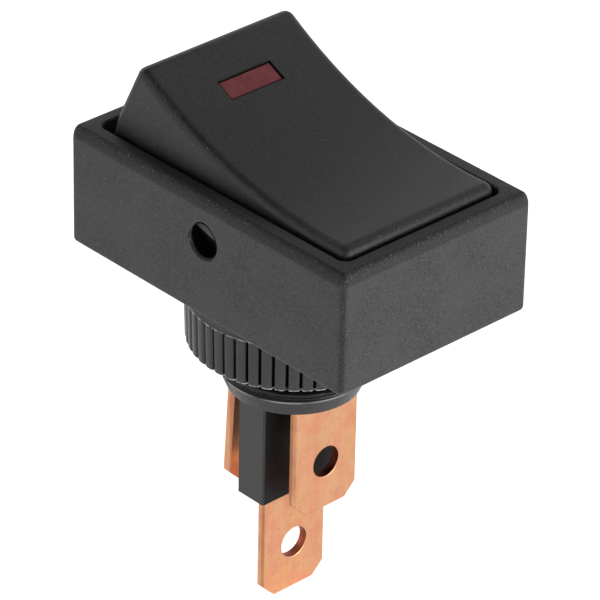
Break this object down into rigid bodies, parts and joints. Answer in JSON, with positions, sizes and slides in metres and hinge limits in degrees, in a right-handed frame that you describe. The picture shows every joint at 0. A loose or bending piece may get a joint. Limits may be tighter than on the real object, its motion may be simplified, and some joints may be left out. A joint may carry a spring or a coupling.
{
  "type": "rocker switch",
  "caption": "Panel rocker switch with a small red lamp lens, a rectangular bezel, a threaded round stem with a ribbed ring nut and copper blade terminals.",
  "frame": {"origin": "On the axis of the round stem, in the flat underside of the bezel that meets the panel", "axes": "+Z points out of the panel, +Y runs along the rocker's pivot across the bezel, +X runs along the bezel towards the end of the rocker that is down at rest"},
  "size_m": [0.0306, 0.0194, 0.0452],
  "materials": {
    "housing_plastic": "fine matte moulded black plastic",
    "nut_plastic": "smooth satin moulded black plastic",
    "rocker_plastic": "fine matte moulded black plastic",
    "red_lens": "unlit translucent dark red plastic",
    "red_lamp": "clear red cast resin",
    "tinned_wire": "tinned soft copper wire",
    "resistor_coat": "beige lacquer",
    "plunger_plastic": "natural hard nylon",
    "spring_steel": "bright drawn spring wire",
    "copper": "bare stamped copper, slightly mottled",
    "silver_contact": "silver contact metal",
    "base_plastic": "fine matte moulded black plastic"
  },
  "bodies": {
    "base": {"housing": "housing_plastic", "terminal_base": "base_plastic", "supply_terminal": "copper", "load_terminal": "copper", "ground_terminal": "copper", "fixed_contact": "silver_contact", "load_lamp_spring": "spring_steel", "ground_lamp_spring": "spring_steel"},
    "nut": {"ring_nut": "nut_plastic"},
    "rocker": {"rocker": "rocker_plastic", "lens": "red_lens", "lamp": "red_lamp", "lamp_ground_lead": "tinned_wire", "lamp_live_lead": "tinned_wire", "resistor": "resistor_coat", "resistor_lead": "tinned_wire", "plunger_spring": "spring_steel"},
    "plunger": {"plunger": "plunger_plastic"},
    "contact": {"contact_arm": "copper", "moving_contact": "silver_contact"}
  },
  "joints": [
    {"name": "rocker_tilt", "type": "hinge", "parent": "base", "child": "rocker", "pos_m": [0, 0, 0.0066], "axis": [0, -1, 0], "range_deg": [0, 29.6], "deforming": ["load_lamp_spring", "ground_lamp_spring"]},
    {"name": "contact_tilt", "type": "hinge", "parent": "base", "child": "contact", "pos_m": [0, 0, -0.00543], "axis": [0, 1, 0], "range_deg": [0, 16]},
    {"name": "plunger_slide", "type": "slide", "parent": "rocker", "child": "plunger", "axis": [0.2555, 0, 0.9668], "range_m": [0, 0.0008], "stiffness_N_per_m": 150, "deforming": ["plunger_spring"]},
    {"name": "nut_travel", "type": "slide", "parent": "base", "child": "nut", "axis": [0, 0, -1], "range_m": [0, 0.003]}
  ],
  "couplings": [
    {"joint": "contact_tilt", "follows": "rocker_tilt", "ratio": 0.54054}
  ]
}
